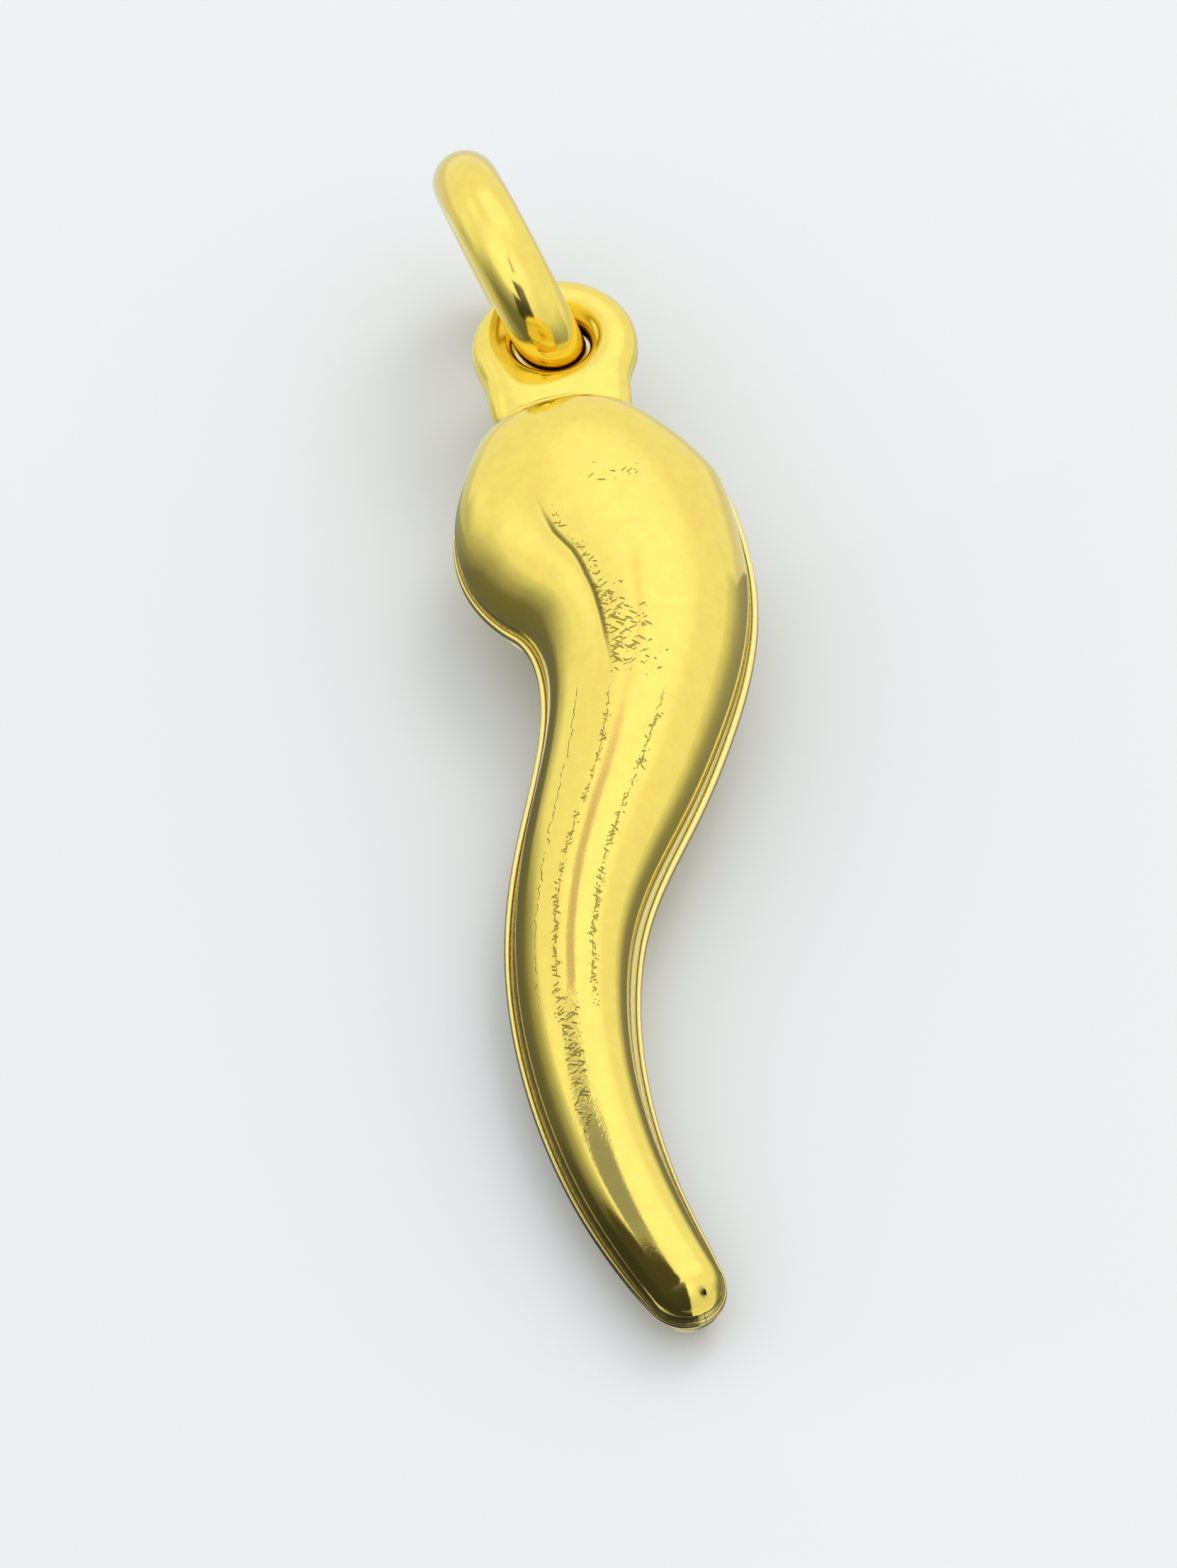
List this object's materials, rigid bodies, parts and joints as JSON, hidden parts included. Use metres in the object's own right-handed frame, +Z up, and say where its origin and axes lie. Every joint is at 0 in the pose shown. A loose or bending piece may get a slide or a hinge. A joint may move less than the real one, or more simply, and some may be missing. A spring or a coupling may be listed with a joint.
{
  "type": "horn pendant",
  "caption": "Hollow curved horn charm of two stamped shells with a seam flange, a round eye at the wide end and a jump ring through the eye.",
  "frame": {"origin": "middle of the footprint, on the surface the pendant lies on", "axes": "+Y from the tip to the eye along the horn, +Z up from the surface, +X to the right seen from the tip"},
  "size_m": [0.0062, 0.029, 0.0055],
  "materials": {
    "horn_gold": "polished 18 carat yellow gold, stamped",
    "ring_gold": "polished 18 carat yellow gold wire"
  },
  "bodies": {
    "root": {"horn": "horn_gold", "jump_ring": "ring_gold"}
  },
  "joints": []
}
